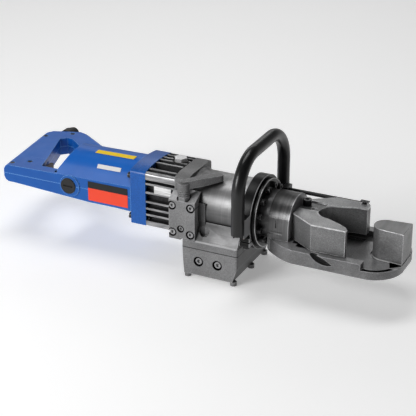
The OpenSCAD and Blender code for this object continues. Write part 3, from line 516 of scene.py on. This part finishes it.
def flange_slope(g, colour, x, z):
    """The casting's colour with streaks on the sloping flange, painted shade towards the valve block and up
    under the barrel, and a painted highlight on the lip.
    """
    slope = g.times(g.rim(), g.below(z, SLOPE_TOP_Z), g.above(x, VALVE_END_X))
    streaks = g.span(g.noise(150, 4, stretch=(0.08, 1, 1)), 0.42, 0.58, 0.72, 1.12)
    # Painted shade: darker towards the valve block and higher up under the barrel.
    slope_shade = g.times(g.span(x, *mm(-20, 14), 0.30, 1.0), g.span(z, *mm(64, 87), 1.15, 0.55))
    light = g.ramp(g.noise(90, 5), 0.35, 0.65, rgb(0.135, 0.135, 0.137), rgb(0.185, 0.185, 0.188))
    colour = g.mix(slope, colour, g.scale(g.scale(light, streaks), slope_shade))
    # Painted highlight along the lip.
    lip = g.times(slope, g.below(z, FLANGE_TOP_Z - 0.4 * MM))
    return g.mix(g.times(lip, 0.6), colour, rgb(0.70, 0.70, 0.71))


def barrel_shading(g, bright, x, z):
    """The turned barrel's colour with painted light and shade: dark bands low down, a light top, dark ends
    and painted shade in deep corners.
    """
    # Painted shade: dark bands low down.
    bands = g.span(g.noise(55, 3, stretch=(0.06, 1, 1)), 0.42, 0.56, 1.0, 0.35)
    bands = g.mix(g.span(z, *mm(100, 112), 1.0, 0.0), rgb(1, 1, 1), bands)
    # Painted light and shade: darker low down, lighter on top.
    rise = g.times(g.span(z, *mm(92, 112), 0.55, 1.0), g.span(z, *mm(130, 142), 1.0, 1.8))
    bright = g.scale(bright, rise)
    # Painted shade just above the sloping flange.
    bright = g.scale(bright, g.times(bands, g.span(z, *mm(87.5, 92.5), 0.30, 1.0)))
    # Painted shade towards the plate end and in deep corners.
    ragged_x = g.math("ADD", x, g.span(g.noise(40, 4), 0.3, 0.7, *mm(-12, 12)))
    bright = g.scale(bright, g.span(ragged_x, *mm(-30, 22), 0.42, 1.0))
    return g.scale(bright, g.crevice_shade(14 * MM, 0.25))


def cylinder_look(name):
    """Turned bright cylinder in the middle, sand casting for the plate, web and flange."""
    g = Graph(name)
    x, y, z = g.axes()
    barrel = g.times(g.below(ram_radius(g, y, z), BARREL_RADIUS), g.above(x, PLATE_END_X))
    colour, roughness, normal = enamel(g, (0.135, 0.135, 0.137), (0.205, 0.205, 0.208), 0.42, 0.6, 0.7,
                                       (0.50, 0.50, 0.51), 0.30, top_light=1.5)
    colour = flange_slope(g, colour, x, z)
    # Painted shade on the pad beside the valve block.
    pad = g.times(g.below(y, SIDE_PAD["y"]), g.below(x, SIDE_PAD["x"]), g.above(z, SIDE_PAD["z"]))
    colour = g.shade(colour, pad, 0.35)
    # Painted shade on the plate's top faces.
    plate = g.times(g.below(x, PLATE_END_X), g.facing("Z", 0.3, 0.7, 0.0, 1.0))
    colour = g.shade(colour, plate, 0.55)
    # Painted shade on the faces towards the head, below the flange top.
    low_end = g.times(g.facing("X", 0.5, 0.85, 0.0, 1.0), g.below(z, FLANGE_TOP_Z))
    colour = g.shade(colour, low_end, 0.5)
    bright, rings = turned_part(g, (0.17, 0.17, 0.172), (0.25, 0.25, 0.252))
    colour = g.mix(barrel, colour, barrel_shading(g, bright, x, z))
    colour = g.scale(colour, seam(g, z))
    cast_rough = g.times(roughness, g.math("SUBTRACT", 1.0, barrel))
    turned_rough = g.times(g.span(rings, 0.3, 0.7, 0.34, 0.42), barrel)
    return g.out(Base_Color=colour, Roughness=g.math("ADD", cast_rough, turned_rough),
                 Metallic=g.span(barrel, 0, 1, 0.25, 0.6), Normal=g.bump(rings, 0.05, 0.1 * MM, normal))


def neck_finish(g, colour, x, y, z):
    """The head's colour with its turned dark neck, painted darker on top and lighter on the sides as light
    and shade, and a painted highlight at the rim.
    """
    neck = g.times(g.above(x, NECK_X[0]), g.below(x, NECK_X[1]), g.above(z, NECK_LOW_Z))
    rings = g.noise(240, 3, stretch=(1, 0.03, 0.03))
    dark = g.ramp(rings, 0.35, 0.65, rgb(0.04, 0.04, 0.0405), rgb(0.09, 0.09, 0.091))
    # Painted light and shade: the neck is darker on top and lighter on its sides.
    dark = g.scale(dark, g.span(g.apart(y, 0.0), *NECK_SIDE_Y, 0.75, 1.9))
    colour = g.mix(neck, colour, dark)
    # Painted highlight at the neck's rim.
    neck_end = g.times(g.above(x, NECK_RIM_X), neck)
    return g.mix(g.times(neck_end, 0.55), colour, rgb(0.5, 0.5, 0.51))


def head_recesses(g, x, y, z):
    """Mask for painted shade: 1 down in the scallops of the sides and in the recess of the nose's upper
    edge.
    """
    out_y = g.apart(y, 0.0)
    scallop = g.times(g.within(out_y, *SCALLOP_Y), g.within(x, *SCALLOP_X),
                      g.span(z, *SCALLOP_TOP_Z, 1.0, 0.0))
    bend = g.length(g.math("SUBTRACT", x, NOSE_X), g.math("SUBTRACT", out_y, NOSE_Y))
    groove = g.times(g.within(bend, *GROOVE_BEND), g.within(z, *GROOVE_Z),
                     g.above(x, GROOVE_START_X), g.above(out_y, GROOVE_SIDE_Y))
    return g.math("MAXIMUM", scallop, groove)


def head_look(name):
    """Machined steel with thin scuffed enamel, painted light on top, painted highlights on rounded edges,
    and painted shade towards the flange and in the recesses; the bolted flange is black with bright edges at
    its rim.
    """
    g = Graph(name)
    x, y, z = g.axes()
    colour, roughness, normal = enamel(g, (0.125, 0.125, 0.127), (0.195, 0.195, 0.198), 0.36, 0.5, 0.9,
                                       (0.52, 0.52, 0.53), 0.22, cloud=30, top_light=1.7, rim_highlight=0.6)
    colour = neck_finish(g, colour, x, y, z)
    # Painted shade, darker towards the flange.
    colour = g.scale(colour, g.span(x, *FLANGE_SHADE_X, 0.22, 1.0))
    # Painted shade in the scallops and in the nose's recess.
    colour = g.shade(colour, head_recesses(g, x, y, z), 0.22)
    flange = g.below(x, FLANGE_FACE_X)
    rim = g.times(g.above(ram_radius(g, y, z), FLANGE_RIM_R), flange, g.above(x, FLANGE_RIM_X))
    black = g.mix(rim, rgb(0.008, 0.008, 0.0085), rgb(0.5, 0.5, 0.5))
    return g.out(Base_Color=g.mix(flange, colour, black), Roughness=roughness,
                 Metallic=g.span(flange, 0, 1, 0.45, 0.25), Normal=normal)


def ring_look(name):
    """Black enamel with bright lines along the edges of the ring's outer face."""
    g = Graph(name)
    x, y, z = g.axes()
    colour, roughness, normal = enamel(g, (0.003, 0.003, 0.0033), (0.007, 0.007, 0.0075), 0.34, 0.1, 0.2,
                                       (0.2, 0.2, 0.2), 0.4)
    outside = g.above(ram_radius(g, y, z), RING_OUTER_R - 0.8 * MM)
    for edge_x in RING_EDGES_X:
        near = g.span(g.apart(x, edge_x), *mm(0.3, 0.7), 0.8, 0.0)
        colour = g.mix(g.times(near, outside), colour, rgb(0.42, 0.42, 0.43))
    return g.out(Base_Color=colour, Roughness=roughness, Normal=normal, Specular_IOR_Level=0.18)


def fork_look(name):
    """Like the head, with painted light on top, painted shade in the recess round the set bolt, and a
    painted highlight line with scuffing along the top edge.
    """
    g = Graph(name)
    z = g.axes()[2]
    colour, roughness, normal = enamel(g, (0.145, 0.146, 0.148), (0.215, 0.216, 0.218), 0.36, 0.5, 0.95,
                                       (0.95, 0.95, 0.96), 0.3, cloud=30, top_light=1.6, rim_highlight=1.0)
    # Painted shade in the slot round the set bolt.
    recess = g.times(g.below(z, FORK_SLOT_Z + 0.6 * MM), g.facing("Z", 0.8, 0.95, 0.0, 1.0))
    colour = g.shade(colour, recess, 0.4)
    # Painted highlight line, with scuffing, under the top face.
    wear_and_highlight = g.times(g.within(z, *FORK_LINE_Z), g.span(g.noise(120, 4), 0.35, 0.6, 0.35, 0.9))
    colour = g.mix(wear_and_highlight, colour, rgb(0.9, 0.9, 0.91))
    return g.out(Base_Color=colour, Roughness=roughness, Metallic=0.4, Normal=normal)


def post_look(name):
    """Like the head, with a dark streaked top face, and a painted highlight on its rounded edges and as a
    line at its foot.
    """
    g = Graph(name)
    z = g.axes()[2]
    colour, roughness, normal = enamel(g, (0.15, 0.15, 0.152), (0.235, 0.235, 0.238), 0.36, 0.5, 0.9,
                                       (0.85, 0.85, 0.86), 0.3, cloud=30, top_light=1.4, rim_highlight=1.0)
    streaks = g.noise(60, 4, stretch=(1, 0.3, 1))
    smear = g.ramp(streaks, 0.35, 0.7, rgb(0.16, 0.16, 0.161), rgb(0.27, 0.27, 0.272))
    colour = g.mix(g.above(z, POST_TOP_Z), colour, smear)
    # Painted highlight line at the foot.
    colour = g.mix(g.span(z, *POST_FOOT_Z, 0.95, 0.0), colour, rgb(0.9, 0.9, 0.9))
    return g.out(Base_Color=colour, Roughness=roughness, Metallic=0.45, Normal=normal)


# ---------------------------------------------------------------- which material goes where

BLUE = ((0.0035, 0.079, 0.345), (0.006, 0.102, 0.41))
# Materials by the frame's slots
MATERIALS = {
    # rim: the colour of the painted highlight on the blue edges.
    "blue_plastic": moulded("blue_plastic", *BLUE, 0.34, 1400, 0.25, recess=0.3, specular=0.28,
                            rim=(0.16, 0.38, 0.74)),
    # Its lighter blue edges are a painted highlight.
    "blue_paint": paint("blue_paint", *BLUE, 0.30, grain=0.10, coat=0.05, recess=0.4, specular=0.3,
                        edge_wear_and_highlight=0.45, wear_and_highlight_colour=(0.08, 0.26, 0.66)),
    "trigger_brown": moulded("trigger_brown", (0.020, 0.013, 0.008), (0.045, 0.028, 0.018), 0.5, 900, 0.3),
    "black_plastic": moulded("black_plastic", (0.006, 0.006, 0.006), (0.014, 0.014, 0.014), 0.42, 1200, 0.25,
                             specular=0.35),
    "black_rubber": moulded("black_rubber", (0.010, 0.009, 0.008), (0.020, 0.018, 0.016), 0.5, 700, 0.3),
    "lamination": metal("lamination", (0.30, 0.30, 0.32), (0.42, 0.42, 0.44), 0.45, (6, 1, 1)),
    "copper": metal("copper", (0.60, 0.26, 0.10), (0.78, 0.38, 0.15), 0.35, (8, 1, 1), 300),
    "carbon": moulded("carbon", (0.04, 0.04, 0.04), (0.07, 0.07, 0.07), 0.7, 900, 0.3),
    "shaft_steel": metal("shaft_steel", (0.55, 0.55, 0.57), (0.72, 0.72, 0.73), 0.25, (6, 1, 1)),
    "fan_plastic": moulded("fan_plastic", (0.05, 0.05, 0.055), (0.08, 0.08, 0.085), 0.5, 900, 0.2),
    "bronze": metal("bronze", (0.55, 0.36, 0.14), (0.70, 0.48, 0.22), 0.4),
    "spring_steel": metal("spring_steel", (0.20, 0.20, 0.22), (0.33, 0.33, 0.35), 0.35),
    "black_oxide": paint("black_oxide", (0.005, 0.005, 0.0055), (0.012, 0.012, 0.013), 0.34, metal=0.3,
                         grain=0.1, edge_wear_and_highlight=0.6, wear_and_highlight_colour=(0.30, 0.30, 0.31), recess=0.3),
    "zinc": metal("zinc", (0.24, 0.24, 0.243), (0.42, 0.42, 0.425), 0.36, (1, 1, 1), 250),
    "tank_aluminium": tank("tank_aluminium"),
    "cast_grey": paint("cast_grey", (0.150, 0.150, 0.152), (0.215, 0.215, 0.218), 0.42, metal=0.2, grain=0.6,
                       edge_wear_and_highlight=0.75, wear_and_highlight_colour=(0.50, 0.50, 0.51), recess=0.3, top_light=1.6, rim_highlight=0.5),
    "black_paint": paint("black_paint", (0.0025, 0.0025, 0.0028), (0.006, 0.006, 0.0065), 0.30, grain=0.06,
                         coat=0.12, edge_wear_and_highlight=0.15, wear_and_highlight_colour=(0.2, 0.2, 0.2), recess=0.4, specular=0.4),
    "label_black": label("label_black", (0.006, 0.006, 0.006), (0.012, 0.012, 0.012)),
    "label_red": label("label_red", (0.78, 0.050, 0.018), (0.86, 0.066, 0.026)),
    "label_yellow": label("label_yellow", (0.90, 0.60, 0.02), (0.98, 0.68, 0.03), 0.5, recess=1.0,
                          specular=0.12),
    "label_white": label("label_white", (0.62, 0.61, 0.61), (0.70, 0.69, 0.69)),
}
# Nodes with a look of their own instead of their slot's
LOOK_OF = {
    "cylinder_body": cylinder_look("cylinder_cast"),
    "bending_head": head_look("head_and_flange"),
    "bending_post": post_look("post_steel"),
    "bending_fork": fork_look("fork_steel"),
    "valve_block": bored_cast("valve_cast", VALVE_HOLES),
    "base_block": bored_cast("base_cast", BASE_HOLES, low=True),
    "release_lever": paint("lever_grey", (0.115, 0.115, 0.117), (0.165, 0.165, 0.168), 0.42, metal=0.2,
                           grain=0.6, edge_wear_and_highlight=0.75, wear_and_highlight_colour=(0.50, 0.50, 0.51), recess=0.25, top_light=1.1,
                           rim_highlight=0.4),
    "filler_plug": paint("plug_bright", (0.62, 0.62, 0.63), (0.74, 0.74, 0.75), 0.30, metal=0.35, grain=0.1,
                         recess=0.6),
    "stop_collar": MATERIALS["black_oxide"],
    "clamp_ring": ring_look("ring_black"),
    "release_spindle": MATERIALS["cast_grey"],
}
SLOT_OF = {entry["node"]: entry["material_slot"] for entry in frame["record"]["subparts"]}

# ---------------------------------------------------------------- CAD nodes: material and rounded edges

# Width of the rounded edges, in millimetres
BEVELS = {
    "bending_fork": 2.4, "bending_post": 2.2, "bending_head": 1.4, "cylinder_body": 1.2, "base_block": 1.2,
    "valve_block": 1.0, "release_lever": 1.2, "gear_collar": 0.8, "oil_tank": 0.5, "clamp_ring": 1.0,
    "housing_upper": 1.2, "housing_lower": 1.2, "trigger": 1.5, "filler_plug": 0.6,
}
WELD_REACH = 0.01 * MM
FLAT_ANGLE = math.radians(0.5)
SHARP_ANGLE = math.radians(32)


def dress(name, node):
    """Gives a CAD node its material and, where listed, small rounded edges."""
    material = LOOK_OF.get(name) or MATERIALS[SLOT_OF[name]]
    node.data.materials.clear()
    node.data.materials.append(material)
    if name not in BEVELS:
        return
    weld = node.modifiers.new("weld", "WELD")
    weld.merge_threshold = WELD_REACH
    flat = node.modifiers.new("flat", "DECIMATE")
    flat.decimate_type = "DISSOLVE"
    flat.angle_limit = FLAT_ANGLE
    bevel = node.modifiers.new("edges", "BEVEL")
    bevel.width = BEVELS[name] * MM
    bevel.segments = 2
    bevel.limit_method = "ANGLE"
    bevel.angle_limit = SHARP_ANGLE
    bevel.use_clamp_overlap = True
    bevel.harden_normals = False
    normals = node.modifiers.new("normals", "WEIGHTED_NORMAL")
    normals.keep_sharp = False


for node_name, node_object in NODES.items():
    dress(node_name, node_object)
